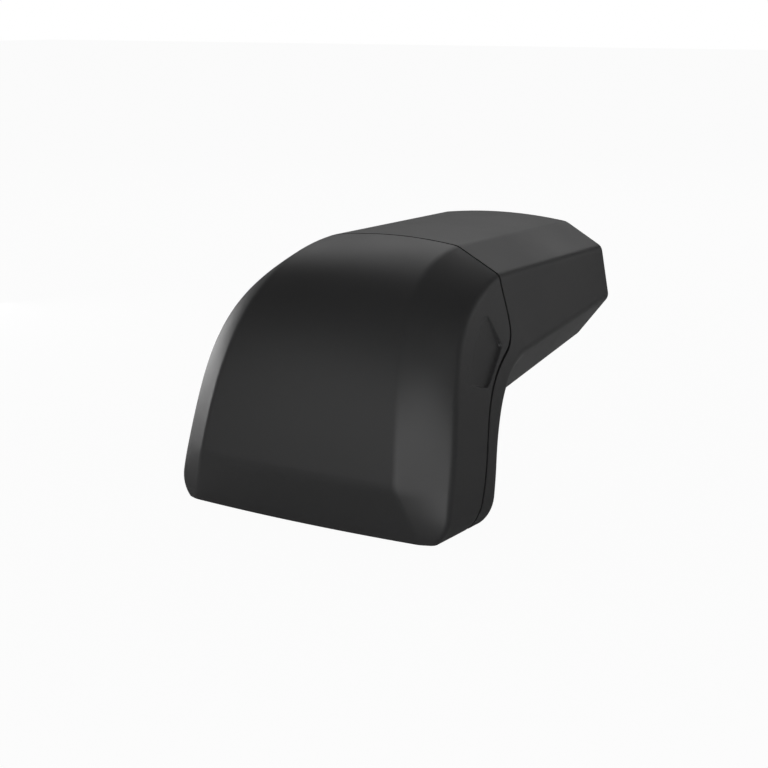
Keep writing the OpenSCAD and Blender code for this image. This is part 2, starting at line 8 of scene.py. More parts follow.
import bmesh
import bpy
import numpy as np
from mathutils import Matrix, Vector


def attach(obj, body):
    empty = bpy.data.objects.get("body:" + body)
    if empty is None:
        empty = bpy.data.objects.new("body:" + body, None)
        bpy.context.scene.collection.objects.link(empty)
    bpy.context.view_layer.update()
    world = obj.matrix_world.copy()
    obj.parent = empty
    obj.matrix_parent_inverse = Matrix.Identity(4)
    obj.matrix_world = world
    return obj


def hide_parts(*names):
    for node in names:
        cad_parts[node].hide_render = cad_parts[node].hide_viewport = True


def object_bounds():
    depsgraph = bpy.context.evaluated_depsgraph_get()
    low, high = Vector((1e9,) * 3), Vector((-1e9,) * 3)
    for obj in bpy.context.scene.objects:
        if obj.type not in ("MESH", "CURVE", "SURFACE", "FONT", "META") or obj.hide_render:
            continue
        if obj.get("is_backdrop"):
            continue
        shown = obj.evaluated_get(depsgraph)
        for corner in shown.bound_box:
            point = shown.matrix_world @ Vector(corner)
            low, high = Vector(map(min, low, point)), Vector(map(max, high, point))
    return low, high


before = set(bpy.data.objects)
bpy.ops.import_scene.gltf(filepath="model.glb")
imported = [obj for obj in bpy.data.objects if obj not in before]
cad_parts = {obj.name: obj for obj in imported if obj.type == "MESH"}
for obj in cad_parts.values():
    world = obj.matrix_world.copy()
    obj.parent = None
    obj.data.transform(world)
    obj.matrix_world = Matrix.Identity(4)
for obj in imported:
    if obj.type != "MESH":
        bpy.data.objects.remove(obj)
cad_low, cad_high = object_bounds()
MM = 0.001
print("nodes", len(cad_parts), "size in mm", [round(x / MM, 1) for x in cad_high - cad_low])

# %% [markdown]
# The photograph was taken from the right of the foot and a little above it. The camera comes
# first, so that every later step can be rendered from the same place. It is placed by its
# position, its bearing and its height above the horizon, and it isn't tilted.

# %% Camera
VIEW_AZIMUTH = np.radians(33)
VIEW_ELEVATION = np.radians(13.2)
VIEW_PLACE = np.array([297.86, -423.6, 167.1])
LENS = 75.23
SENSOR_W = 36


def add_object(name, data):
    """A new object that stands in the scene."""
    made = bpy.data.objects.new(name, data)
    bpy.context.scene.collection.objects.link(made)
    return made


camera_data = bpy.data.cameras.new("camera")
camera_data.lens = LENS
camera_data.sensor_width = SENSOR_W
camera = add_object("camera", camera_data)
bpy.context.scene.camera = camera
camera.location = Vector(VIEW_PLACE * MM)
camera.rotation_euler = (np.pi / 2 - VIEW_ELEVATION, 0, VIEW_AZIMUTH)
bpy.context.scene.view_settings.view_transform = "Standard"

# %% [markdown]
# Both shells share one outer form. Six guide lines run along it, from the sleeve's open end
# over the bend and down the leg, and a ring of six facets joins them at every place. The first
# parameter, v, runs along the foot: 0 to 1 is the sleeve, 1 to 2 the bend and the leg, and 2 to 3
# the toe. The bend's guide lines are Bezier curves, because four points place one exactly.

# %% Sizes of the outer form
FOOT_W = 107.8
SHOULDER_W = 83.7
SLEEVE_W = 90
TOP_W = 52
PANEL_W = 77.6
CROWN_Z = 90.4
CROWN = 1.8
SHOULDER_Z = CROWN_Z - 10.2
REACH = 121
FRONT_Y = 20.4
REAR_Y = 33
TOE_Z = 20
EDGE_Z = 1.6
SEAM_Y = 41.5
WALL = 2.5
CLAMP_Y = (56, 84)
CLAMP_HOLE_R = 7
HOUSING_SCREW_AT = ((14, 53), (14, 87))
SCREW_R = 2
SCREW_HOLE_R = 2 * SCREW_R + 0.3

# The sides lean in above LEAN_Z, and turn in below TOE_ROUND_Z
LEAN_Z = 7
LEAN = (FOOT_W - SHOULDER_W) / 2 / (SHOULDER_Z - LEAN_Z) ** 2
TOE_ROUND_Z = 11
TOE_ROUND = 9.6
REAR_TURN = 0.45

# The waist is where the side's two facets meet, and the underside rises towards the leg
SLEEVE_LOW = CROWN_Z - 45
WAIST_Y = 49.5
WAIST_Z = 54.3
UNDER_Y = 50
UNDER_Z = SLEEVE_LOW - 0.17 * (REACH - UNDER_Y)
UNDER_CROWN = 0.8
REAR_CROWN = 0.4
REAR_X = 36

# Guide lines 1, 2 and 3 at the toe's top, and how far lines 0, 1 and 2 move below it
PANEL_SIDE_Y = -FRONT_Y + 1.1
FRONT_SIDE_Y = -FRONT_Y + 12.4
BACK_SIDE_Y = 21
BACK_SIDE_LOW_Y = 17.4
PANEL_TUCK = 4.3
CORNER_TUCK = 6.2
CORNER_FLARE = 6.7
SIDE_FLARE = 6
SIDE_BOW = 0.25

END_RING = np.array([
    [0, REACH, CROWN_Z], [TOP_W / 2 + 0.6, REACH, CROWN_Z - CROWN],
    [SHOULDER_W / 2 - 0.3, REACH, SHOULDER_Z], [SLEEVE_W / 2, REACH, CROWN_Z - 28.8],
    [32, REACH, SLEEVE_LOW], [0, REACH, SLEEVE_LOW - UNDER_CROWN]])

# Four points for each guide line. The side's surface gives the x of lines 2 and 3
BEND = np.array([
    [[0, SEAM_Y, CROWN_Z + 0.2], [0, -0.7, CROWN_Z - 2.5], [0, -FRONT_Y + 8.2, 60.5], [0, -FRONT_Y, TOE_Z]],
    [[TOP_W / 2 - 0.5, SEAM_Y, CROWN_Z - CROWN + 0.2], [TOP_W / 2 + 1, 0, CROWN_Z - 4.4],
     [TOP_W / 2 + 9.5, -FRONT_Y + 9.6, 59.7], [PANEL_W / 2, PANEL_SIDE_Y, TOE_Z]],
    [[0, SEAM_Y - 1.1, SHOULDER_Z], [0, 1.2, SHOULDER_Z - 9.6], [0, 0.9, 50.3], [0, FRONT_SIDE_Y, TOE_Z]],
    [[0, WAIST_Y, WAIST_Z], [0, WAIST_Y - 15.4, WAIST_Z - 2.3], [0, 23.7, 38.5], [0, BACK_SIDE_Y, TOE_Z]],
    [[33, UNDER_Y, UNDER_Z], [34, UNDER_Y - 10, UNDER_Z - 1.7],
     [REAR_X, REAR_Y + 0.5, UNDER_Z - 5.3], [REAR_X, REAR_Y, TOE_Z]],
    [[0, UNDER_Y, UNDER_Z - UNDER_CROWN], [0, UNDER_Y - 10, UNDER_Z - 2.5],
     [0, REAR_Y + 0.5, UNDER_Z - 6.1], [0, REAR_Y + REAR_CROWN, TOE_Z]]])


# %% Guide lines
def lerp(a, b, t):
    """The point a share t of the way from a to b."""
    return a + (b - a) * t


def unit(v):
    """Vectors scaled to a length of 1."""
    return v / np.linalg.norm(v, axis=-1, keepdims=True)


def bezier(points, t):
    """Cubic Bezier curve: its four points weighed by the terms of (1 - t + t) cubed."""
    t = np.asarray(t, float)[..., None]
    return (1 - t) ** 3 * points[0] + 3 * (1 - t) ** 2 * t * points[1] \
        + 3 * (1 - t) * t ** 2 * points[2] + t ** 3 * points[3]


def quadratic(a, corner, b, t):
    """Quadratic Bezier curve from a to b, which rounds the corner between them."""
    return (1 - t) ** 2 * a + 2 * t * (1 - t) * corner + t ** 2 * b


def ease(t):
    """A share from 0 to 1 that starts and ends slowly."""
    return t * t * (3 - 2 * t)


def toe_in(z):
    """How far the bottom edge turns in at height z: part of an ellipse."""
    u = 0.85 * np.maximum(0, TOE_ROUND_Z - z) / (TOE_ROUND_Z - EDGE_Z)
    return TOE_ROUND * (1 - np.sqrt(1 - u * u))


def side_x(z):
    """Half width of the side at height z: it leans in with the square of the height."""
    return FOOT_W / 2 - LEAN * (z - LEAN_Z) ** 2 - toe_in(z)


def leg(j, t):
    """A point of guide line j in the bend, on the side surface where it is a side crease."""
    p = bezier(BEND[j], t)
    if j in (2, 3):
        p[..., 0] = side_x(p[..., 2])
    return p


def toe(j, u):
    """A point of guide line j on the toe, a share u of the way down."""
    z = lerp(TOE_Z, EDGE_Z, u)
    turn = toe_in(z)
    x, y = [
        (0 * z, lerp(-FRONT_Y, -FRONT_Y + PANEL_TUCK, u)),
        (lerp(PANEL_W / 2, PANEL_W / 2 + CORNER_FLARE, u), lerp(PANEL_SIDE_Y, -FRONT_Y + CORNER_TUCK, u)),
        (side_x(z), FRONT_SIDE_Y - SIDE_FLARE * u * (1 - SIDE_BOW * u)),
        (side_x(z), lerp(BACK_SIDE_Y, BACK_SIDE_LOW_Y, u)),
        (REAR_X - turn / 3, REAR_Y - turn * REAR_TURN),
        (0 * z, REAR_Y + REAR_CROWN - turn * REAR_TURN)][j]
    return np.stack([x, y, z], -1)


# The panel's bottom crease is softened from a little above it to a little below it
CREASE_ABOVE = 0.02
CREASE_BELOW = 0.13


def guide(j, v):
    """Guide line j at v: the sleeve's straight line, the bend's curve, then the toe."""
    v = np.asarray(v, float)
    t = np.clip((v - 2 + CREASE_ABOVE) / (CREASE_ABOVE + CREASE_BELOW), 0, 1)[..., None]
    above = leg(j, np.float64(1 - CREASE_ABOVE))
    below = toe(j, np.float64(CREASE_BELOW))
    corner = toe(j, np.float64(0))
    soft = quadratic(above, corner, below, t)
    sleeve = lerp(END_RING[j], leg(j, 0 * v), v[..., None])
    bent = leg(j, np.clip(v - 1, 0, 1))
    low = toe(j, np.clip(v - 2, 0, 1))
    v = v[..., None]
    lower = np.where(v < 2 + CREASE_BELOW, soft, low)
    return np.where(v <= 1, sleeve, np.where(v <= 2 - CREASE_ABOVE, bent, lower))


print("front of the toe", guide(0, 2.0).round(2), "end of the sleeve", guide(3, 0.0).round(2))

# %% [markdown]
# A ring's facets meet in creases. On the real moulding those beside the top and the front panel
# are soft, and those along the sides are crisp. The second parameter, s, runs round half a ring:
# even steps are facets and odd steps are creases. The third, depth, moves the surface inwards,
# so that one function gives the outside of a shell and its inside, a wall's thickness apart.

# %% Rings
CREASES = (1.3, 1.7, 1.7, 1.7)
LEAST_CREASE = 0.4
MOST_OF_FACET = 0.35
SWELL = 1.1
LAST_S = 9
NEAR_V = 0.01


def along(j, v):
    """Direction of guide line j."""
    return guide(j, np.minimum(3, v + NEAR_V)) - guide(j, v - NEAR_V)


def facet(j, k, v):
    """Outward normal of the facet between guide lines j and j + 1, taken at line k."""
    return unit(np.cross(along(k, v), guide(j + 1, v) - guide(j, v)))


def inset(j, v, depth):
    """Guide point moved in by depth, along the mitre of the two facets that meet there."""
    flip = np.array([-1, 1, 1])
    a = facet(0, 0, v) * flip if j == 0 else facet(j - 1, j, v)
    b = facet(4, 5, v) * flip if j == 5 else facet(j, j, v)
    dot = np.sum(a * b, -1, keepdims=True)
    return guide(j, v) - depth * (a + b) / (1 + dot)


def place(v, s, depth=0.0):
    """The shells' surface: the point at v along the foot and s round its half ring."""
    v = np.asarray(v, float)
    s = np.asarray(s, float)
    depth = np.broadcast_to(np.asarray(depth, float), v.shape)[..., None]
    k = [inset(j, v, depth) for j in range(6)]
    bulge = SWELL * np.sin(np.pi * np.clip(v - 1, 0, 1))[..., None] ** 2
    outward = facet(1, 1, v)

    def crown(w):
        """The top: x grows evenly, and the height falls with its square."""
        return np.concatenate([(k[1] * w)[..., :1], lerp(k[1], k[0], 1 - w * w)[..., 1:]], -1)

    def shoulder(w):
        """The shoulder: it swells a little in the bend."""
        return lerp(k[1], k[2], w) + bulge * 4 * w * (1 - w) * outward

    faces = [crown, shoulder] + [lambda w, j=j: lerp(k[j], k[j + 1], w) for j in (2, 3, 4)]
    reach = [np.maximum(LEAST_CREASE, crease - depth) for crease in CREASES]
    span = [np.linalg.norm(k[j + 1] - k[j], axis=-1, keepdims=True) for j in range(5)]
    before = [0] + [np.minimum(MOST_OF_FACET, reach[j] / span[j + 1]) for j in range(4)]
    after = [1 - np.minimum(MOST_OF_FACET, reach[j] / span[j]) for j in range(4)] + [1]
    found = np.zeros(v.shape + (3,))
    step = np.minimum(np.floor(s), LAST_S - 1)
    t = (s - step)[..., None]
    for j in range(5):
        on_face = faces[j](lerp(before[j], after[j], t))
        found = np.where((step == 2 * j)[..., None], on_face, found)
        if j < 4:
            on_crease = quadratic(faces[j](after[j]), k[j + 1], faces[j + 1](before[j + 1]), t)
            found = np.where((step == 2 * j + 1)[..., None], on_crease, found)
    return found


print("ring at the bend", place(np.full(3, 1.5), np.array([0, 2.5, 4.5])).round(1).tolist())

# %% [markdown]
# The shells meet in a parting line that is drawn in side view, and the cover's finger grips are
# drawn there too. Each is kept as a signed distance: how far a point lies from the line, with
# its side as the sign. A distance makes gaps, lips and round corners simple, because each is
# the same line at another value.

# %% Lines in side view
SEAM_UPPER = np.array([[SEAM_Y, 80], [SEAM_Y - 1.2, 71.1], [SEAM_Y + 3, 61.2], [SEAM_Y - 5.5, 56]])
SEAM_LOWER = np.array([[SEAM_Y - 5.5, 56], [12.6, 44.4], [18.5, 27], [9.3, 7.6]])
SEAM_GAP = 0.5
SEAM_SHADOW = 0.2

# Everything ahead of the parting line, as an outline that runs far round the front
AHEAD = np.concatenate([
    [[7.5, -10], [-80, -10], [-80, 140], [SEAM_Y, 140]], bezier(SEAM_UPPER, np.linspace(0, 1, 25)),
    bezier(SEAM_LOWER, np.linspace(0, 1, 33))[1:], [[7.5, EDGE_Z]]])
GRIP_DEPTH = 1.3
GRIP_SINK = 0.6
GRIP_CORNER = 1.5
GRIP_WALL = 1.0
GRIP_BOW = 0.12
GRIP = np.array([[5.3, 50.1], [19.3, 46.5], [21.9, 47.9], [33.7, 58.2], [28.2, 69.3], [24.2, 68.4]])
GRIP_MIDDLE = np.array([21, 58])
GRIP_LINE = GRIP[5] - GRIP[0]


def behind(yz):
    """How far a point lies behind the grip's front line, as a share of its rear corner's."""
    w = yz - GRIP[0]
    corner = GRIP[3] - GRIP[0]
    most = corner[0] * GRIP_LINE[1] - corner[1] * GRIP_LINE[0]
    return (w[:, 0] * GRIP_LINE[1] - w[:, 1] * GRIP_LINE[0]) / most


def distance_inside(points, outline):
    """Distance of each [y, z] to a closed outline, positive inside: the least of its distances
    to the outline's sides, with the sign from how often a ray crosses them."""
    a = outline
    b = np.roll(outline, -1, 0)
    d = b - a
    w = points[:, None] - a
    share = np.clip((w * d).sum(-1) / (d * d).sum(-1), 0, 1)
    nearest = np.linalg.norm(w - share[..., None] * d, axis=-1).min(1)
    z = points[:, None, 1]
    crosses = (a[:, 1] > z) != (b[:, 1] > z)
    rise = np.where(d[:, 1] == 0, 1, d[:, 1])
    crosses &= points[:, None, 0] < a[:, 0] + (z - a[:, 1]) * d[:, 0] / rise
    return np.where(crosses.sum(1) % 2 == 1, nearest, -nearest)


def shrunk(outline, by):
    """A closed outline whose sides are all moved in by the same distance."""
    d = unit(np.roll(outline, -1, 0) - outline)
    normal = np.stack([-d[:, 1], d[:, 0]], -1)
    last = np.roll(normal, 1, 0)
    return outline + by * (normal + last) / (1 + (normal * last).sum(-1, keepdims=True))


GRIP_CORE = shrunk(GRIP, GRIP_CORNER)


def from_seam(p):
    """How far a point lies ahead of the parting line."""
    return distance_inside(p[:, 1:], AHEAD)


def from_grip(p):
    """How far a point lies outside the grip's outline, whose corners are round."""
    return -distance_inside(p[:, 1:], GRIP_CORE) - GRIP_CORNER


# %% [markdown]
# A shell is cut from a grid of v and s. Where a line crosses the grid, the nearest grid points
# slide along their rows or columns until they lie exactly on it. The cut edge is then as smooth
# as the line itself, without the slivers that a boolean leaves in a fine mesh.


# %% Cutting a grid
HALF_CELL = 0.5


def spread(*stops):
    """Values that run through stops, each given as a value and the steps that lead to it."""
    parts = [[stops[0]]]
    for value, steps in stops[1:]:
        parts.append(np.linspace(parts[-1][-1], value, steps + 1)[1:])
    return np.concatenate(parts)


class Grid:
    """A grid of surface parameters, and at each point the least level of the lines that cut it."""

    def __init__(self, v, s):
        self.v, self.s = np.meshgrid(v, s, indexing="ij")
        self.least = np.full(self.v.shape, np.inf)

    def points(self, depth=0.0):
        """The grid's points on the surface, as one list."""
        return place(self.v.ravel(), self.s.ravel(), depth)

    def cut(self, level):
        """Keeps what lies where level is positive, and slides points onto level 0."""
        value = level(self.points()).reshape(self.v.shape)
        best = np.full(self.v.shape, HALF_CELL)
        new_v, new_s = self.v, self.s
        for axis, step in ((0, 1), (0, -1), (1, 1), (1, -1)):
            other = np.roll(value, -step, axis)
            share = np.where(value * other < 0, value / np.where(value == other, 1, value - other), 1)
            # The grid's own ends stay where they are
            share[[0, -1] if axis == 0 else (slice(None), [0, -1])] = 1
            better = share <= best
            best = np.where(better, share, best)
            new_v = np.where(better, lerp(self.v, np.roll(self.v, -step, axis), share), new_v)
            new_s = np.where(better, lerp(self.s, np.roll(self.s, -step, axis), share), new_s)
        moved = (new_v != self.v) | (new_s != self.s)
        self.v, self.s = new_v, new_s
        self.least = np.minimum(self.least, np.where(moved, 0, value))

    def faces(self):
        """The kept cells as corner numbers; a cell cut from corner to corner keeps a triangle."""
        number = np.arange(self.v.size).reshape(self.v.shape)
        corners = np.stack([
            number[:-1, :-1], number[:-1, 1:], number[1:, 1:], number[1:, :-1]], -1).reshape(-1, 4)
        at = self.least.ravel()[corners]
        out = (at < 0).sum(1)
        quads = corners[(out == 0) & (at.max(1) > 0)]
        triangles = []
        for lost in range(4):
            rest = [(lost + 1) % 4, (lost + 2) % 4, (lost + 3) % 4]
            picked = (out == 1) & (at[:, lost] < 0) & (at[:, rest[1]] > 0)
            triangles.append(corners[picked][:, rest])
        return quads, np.concatenate(triangles)


# %% [markdown]
# The cut grid is one skin of a shell. The class below gathers the points of the outer skin with
# the points a wall's thickness inside them, and closes them into a solid: it copies every face
# to the inner skin and rounds the rim between them. The rim's direction comes from the mesh
# itself, at right angles to the edge and to the wall. Half a shell is made and then mirrored.


# %% Closing a shell
ON_MIDDLE = 1e-6


def edge_ends(edges):
    """The points that edges use, and the places of each edge's two ends among them."""
    used, ends = np.unique(edges, return_inverse=True)
    return used, ends.reshape(-1, 2)


def strips(rows, ends):
    """Faces between each row of points and the next, one for each edge."""
    return [
        np.stack([one[ends[:, 1]], one[ends[:, 0]], two[ends[:, 0]], two[ends[:, 1]]], -1)
        for one, two in zip(rows[:-1], rows[1:])]


class Shell:
    """Faces between outer points and the inner points that belong to them."""

    def __init__(self, grid, depth=0.0, wall=WALL):
        self.outer = grid.points(depth)
        self.inner = grid.points(depth + wall)
        self.faces = list(grid.faces())

    def add(self, outer, inner):
        """Adds pairs of points and gives their numbers."""
        first = len(self.outer)
        self.outer = np.concatenate([self.outer, outer])
        self.inner = np.concatenate([self.inner, inner])
        return np.arange(first, first + len(outer))

    def edges(self):
        """The edges that have a face on one side only, in the direction of that face."""
        pairs = np.concatenate([
            np.stack([f, np.roll(f, -1, 1)], -1).reshape(-1, 2) for f in self.faces if len(f)])
        size = len(self.outer)
        code = pairs[:, 0] * size + pairs[:, 1]
        back = pairs[:, 1] * size + pairs[:, 0]
        lone = pairs[~np.isin(code, back)]
        on_middle = np.abs(self.outer[lone][..., 0]).max(1) < ON_MIDDLE
        return lone[~on_middle]

    def solid(self, radius, steps=3):
        """Points and faces of the closed half: outer skin, rounded rim, straight rim, inner skin."""
        count = len(self.outer)
        edges = self.edges()
        used, ends = edge_ends(edges)
        normal = unit(self.outer - self.inner)
        run = unit(self.outer[edges[:, 1]] - self.outer[edges[:, 0]])
        away = np.zeros((len(used), 3))
        for end in (0, 1):
            np.add.at(away, ends[:, end], np.cross(run, normal[edges[:, end]]))
        away[np.abs(self.outer[used][:, 0]) < ON_MIDDLE, 0] = 0
        away = unit(away)
        points = [self.outer, self.inner]
        rows = [used]
        for turn in np.linspace(0, np.pi / 2, steps + 1)[1:]:
            row = self.outer[used] + radius * (away * np.sin(turn) - normal[used] * (1 - np.cos(turn)))
            rows.append(np.arange(len(used)) + sum(len(p) for p in points))
            points.append(row)
        rows.append(used + count)
        faces = list(self.faces) + [f[:, ::-1] + count for f in self.faces]
        return np.concatenate(points), faces + strips(rows, ends)


def mirrored(points, faces):
    """A half with its mirror image in X, joined along the middle."""
    points = points.copy()
    middle = np.abs(points[:, 0]) < ON_MIDDLE
    points[middle, 0] = 0
    number = np.where(middle, np.arange(len(points)), np.cumsum(~middle) - 1 + len(points))
    both = np.concatenate([points, points[~middle] * [-1, 1, 1]])
    return both, list(faces) + [number[f][:, ::-1] for f in faces]


SHARP = np.radians(38)
MERGE = 1e-5
dressed = {}


def open_edges(mesh):
    """How many edges of a mesh don't have two faces."""
    b = bmesh.new()
    b.from_mesh(mesh)
    count = sum(1 for e in b.edges if len(e.link_faces) != 2)
    b.free()
    return count


def make_piece(name, points, faces, body, slot, *nodes):
    """A mesh object from points in millimetres, smooth but for its sharp edges."""
    mesh = bpy.data.meshes.new(name)
    rows = [row for f in faces for row in f.tolist()]
    mesh.from_pydata((np.asarray(points) * MM).tolist(), [], rows)
    b = bmesh.new()
    b.from_mesh(mesh)
    bmesh.ops.remove_doubles(b, verts=b.verts, dist=MERGE * MM)
    b.to_mesh(mesh)
    b.free()
    mesh.validate()
    mesh.shade_smooth()
    mesh.set_sharp_from_angle(angle=SHARP)
    piece = add_object(name, mesh)
    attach(piece, body)
    if nodes:
        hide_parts(*nodes)
    dressed.setdefault(slot, []).append(piece)
    print(name, "faces", len(mesh.polygons), "open edges", open_edges(mesh))


# %% [markdown]
# The front cover runs from the parting line to the bottom edge. Its finger grips are sunk in the
# sides: the outline is cut from the skin, a wall with a round top and a round foot drops from
# it, and a fan of faces makes the floor, which sinks towards the rear so that fingers can pull.

# %% Front cover
RIM = 0.15
EDGE_ROUND = 0.5
LAST_V = 3 - EDGE_ROUND / 18
COVER_S = spread(0, (1, 22), (2, 8), (3, 16), (4, 7), (5, 52), (6, 5), (7, 3), (8, 3), (9, 3))
COVER_V = spread(0.985, (1.04, 4), (1.78, 84), (1.975, 18), (2.0, 4), (2.14, 7), (LAST_V, 16))
ON_LINE = 1e-2

cover_grid = Grid(COVER_V, COVER_S)
cover_grid.cut(lambda p: from_seam(p) - SEAM_GAP - RIM)
cover_grid.cut(from_grip)
cover = Shell(cover_grid)


def slope(level, p, step=0.02):
    """Direction in side view in which a distance grows, from its differences along Y and Z."""
    ahead = [level(p + step * axis) - level(p - step * axis) for axis in np.eye(3)[1:]]
    return unit(np.stack(ahead, -1))


def grip_floor(yz, inside):
    """Points of the grip's floor: flush at the front line, and deeper behind it. The skin there
    lies a little inside the curved side, because its facet is straight."""
    depth = GRIP_DEPTH * np.clip(behind(yz), 0, None)
    return np.column_stack([side_x(yz[:, 1]) - inside - depth, yz])


def sink_grip(shell, steps=9, rings=12):
    """Adds the grip's wall and floor inside the edge that was cut for it."""
    edges = shell.edges()
    near = np.abs(from_grip(shell.outer[edges.ravel()])).reshape(-1, 2).max(1) < ON_LINE
    used, ends = edge_ends(edges[near])
    top = shell.outer[used]
    inside = side_x(top[:, 2]) - top[:, 0]
    foot = grip_floor(top[:, 1:] - GRIP_WALL * slope(from_grip, top), inside)
    rows = [used]
    inward = np.array([WALL, 0, 0])
    for t in np.linspace(0, 1, steps + 1)[1:]:
        across = t + GRIP_BOW * np.sin(2 * np.pi * t)
        row = np.column_stack([
            lerp(top[:, 0], foot[:, 0], ease(t)), lerp(top[:, 1:], foot[:, 1:], across)])
        rows.append(shell.add(row, row - inward))
    middle = grip_floor(GRIP_MIDDLE[None], inside.mean())
    for t in np.linspace(0, 1, rings + 1)[1:-1]:
        row = grip_floor(lerp(foot[:, 1:], GRIP_MIDDLE, t), lerp(inside, inside.mean(), t))
        rows.append(shell.add(row, row - inward))
    pole = shell.add(middle, middle - inward)
    last = rows[-1]
    fan = np.column_stack([last[ends[:, 1]], last[ends[:, 0]], np.full(len(ends), pole[0])])
    shell.faces += strips(rows, ends) + [fan]


sink_grip(cover)
make_piece("front_cover_shell", *mirrored(*cover.solid(RIM)), "cover", "cover_plastic", "front_cover")

# %% Rear housing
HOUSING_S = spread(0, (1, 10), (2, 7), (3, 8), (4, 6), (5, 28), (6, 6), (7, 9), (8, 5), (9, 40))
HOUSING_V = spread(
    EDGE_ROUND / (REACH - SEAM_Y), (0.4, 14), (1, 60), (1.6, 46), (2, 22), (LAST_V, 18))


def from_holes(p):
    """How far a point lies outside the holes in the sleeve's floor."""
    holes = [(0, y, CLAMP_HOLE_R) for y in CLAMP_Y] + [(x, y, SCREW_HOLE_R) for x, y in HOUSING_SCREW_AT]
    away = np.min([np.hypot(p[:, 0] - x, p[:, 1] - y) - r for x, y, r in holes], 0)
    return np.where(p[:, 2] < SLEEVE_LOW, away, 1)


housing_grid = Grid(HOUSING_V, HOUSING_S)
housing_grid.cut(lambda p: -from_seam(p) - SEAM_SHADOW - RIM)
housing_grid.cut(from_holes)
make_piece("rear_housing_shell", *mirrored(*Shell(housing_grid).solid(RIM)),
           "foot", "housing_plastic", "rear_housing")

# %% [markdown]
# Under the cover's edge the housing carries a thin lip. It starts inside the housing's wall,
# steps inwards, and runs 4 mm under the cover, which it keeps in line. It is cut from the same
# surface: its depth grows with the distance from the parting line.

# %% The housing's lip
LIP_REACH = 4
LIP_ROOT = 3
LIP_STEP = LIP_ROOT - 0.6
LIP_T = 1.4
LIP_GAP = 0.3
LIP_LOW = 4.5
LIP_V = spread(0.93, (1.04, 9), (1.8, 84), (1.99, 16), (2.9, 24))
LIP_S = spread(0, (1, 16), (2, 8), (3, 16), (4, 6), (6, 60))


def lip_depth(p):
    """Depth of the lip's outer face: within the wall at its root, clear of the cover ahead."""
    t = np.clip((from_seam(p) + LIP_ROOT) / LIP_STEP, 0, 1)
    return lerp(WALL - 1, WALL + LIP_GAP, ease(t))


def lip_edge(p):
    """Where the lip's face ends: ahead, at its root, round the grip and above the bottom edge."""
    ahead = from_seam(p)
    return np.minimum.reduce([
        LIP_REACH - ahead, ahead + LIP_ROOT, from_grip(p) - GRIP_SINK - WALL, p[:, 2] - LIP_LOW])


lip_grid = Grid(LIP_V, LIP_S)
lip_grid.cut(lip_edge)
lip = Shell(lip_grid, lip_depth(lip_grid.points()), LIP_T)
make_piece("housing_lip", *mirrored(*lip.solid(2 * RIM)), "foot", "housing_plastic")

# %% [markdown]
# Most of the small parts are turned: bolts, screws, washers, the bush, pegs and grommets. One
# function turns a profile of radius and height. A row of six sides makes a hexagon socket, and
# a closed profile makes a ring.

# %% Turned parts
SIDES = 48


def rounded(profile, radius, steps=3):
    """A profile with every corner replaced by a short curve, at most radius from the corner.
    Its ends stay where they are. A third value of a point, its number of sides, is kept."""
    out = [profile[0]]
    for before, corner, after in zip(profile[:-2], profile[1:-1], profile[2:]):
        q = np.array(corner[:2], float)
        arms = [np.array(p[:2], float) - q for p in (before, after)]
        a, b = [q + arm * min(0.45, radius / max(np.hypot(*arm), 1e-6)) for arm in arms]
        out += [(*quadratic(a, q, b, t), *corner[2:]) for t in np.linspace(0, 1, steps)]
    return out + [profile[-1]]


def turned(profile, closed=False):
    """Points and faces of a profile turned about Z. An open profile gets a flat face at each end."""
    angle = np.arange(SIDES) / SIDES * 2 * np.pi
    rows = []
    for radius, height, *corners in profile:
        r = np.full(SIDES, float(radius))
        if corners:
            step = 2 * np.pi / corners[0]
            r = radius / np.cos((angle + step / 2) % step - step / 2)
        rows.append(np.column_stack([
            r * np.cos(angle), r * np.sin(angle), np.full(SIDES, float(height))]))
    number = np.arange(len(rows) * SIDES).reshape(-1, SIDES)
    pairs = zip(number, np.roll(number, -1, 0)) if closed else zip(number[:-1], number[1:])
    faces = [np.stack([one, np.roll(one, -1), np.roll(two, -1), two], -1) for one, two in pairs]
    if not closed:
        faces += [number[0][None, ::-1], number[-1][None]]
    return np.concatenate(rows), faces


def ring(profile, radius, steps=3):
    """A solid turned from a closed profile with rounded corners."""
    return turned(rounded([*profile, *profile[:2]], radius, steps)[1:-1], closed=True)


def joined(solids):
    """Several solids as one list of points and one of faces."""
    points = [solid[0] for solid in solids]
    first = np.cumsum([0] + [len(p) for p in points])
    return np.concatenate(points), [f + n for (_, faces), n in zip(solids, first) for f in faces]


def repeated(points, faces, places, axis=(0, 0, 1)):
    """Copies of a solid, stood along an axis at several places."""
    turn = np.array(Vector((0, 0, 1)).rotation_difference(Vector(axis)).to_matrix())
    return joined([(points @ turn.T + np.array(at), faces) for at in places])


def each_side(places):
    """Places with their mirror images in X."""
    return [(x * side, y, z) for x, y, z in places for side in (1, -1)]


# Heights of the stack on the roof, and of the arm
PAD_T, PLATE_T, FLOOR_T = 5, 3, 6
PLATE_Z = PAD_T
FLOOR_Z = PLATE_Z + PLATE_T
POCKET_Z = FLOOR_Z + FLOOR_T
BAR_Z, BAR_T, BAR_W = 51, 33, 82
SADDLE_T, ARM_T = 2, 4.5
ARM_Z = BAR_Z - SADDLE_T
ARM_LOW = ARM_Z - ARM_T
FIT = 0.1

BUSH_R = 7
BORE_R = 4.25
BUSH_HEAD = 2
WASHER_T = 2.5
HEAD_Z = POCKET_Z + BUSH_HEAD
bush = [(BORE_R, 0), (BUSH_R, 0), (BUSH_R, POCKET_Z), (BUSH_R + 2, POCKET_Z), (BUSH_R + 2, HEAD_Z),
        (BORE_R, HEAD_Z)]
make_piece("steel_bush", *ring(bush, 0.4), "foot", "zinc_steel", "bolt_bush")


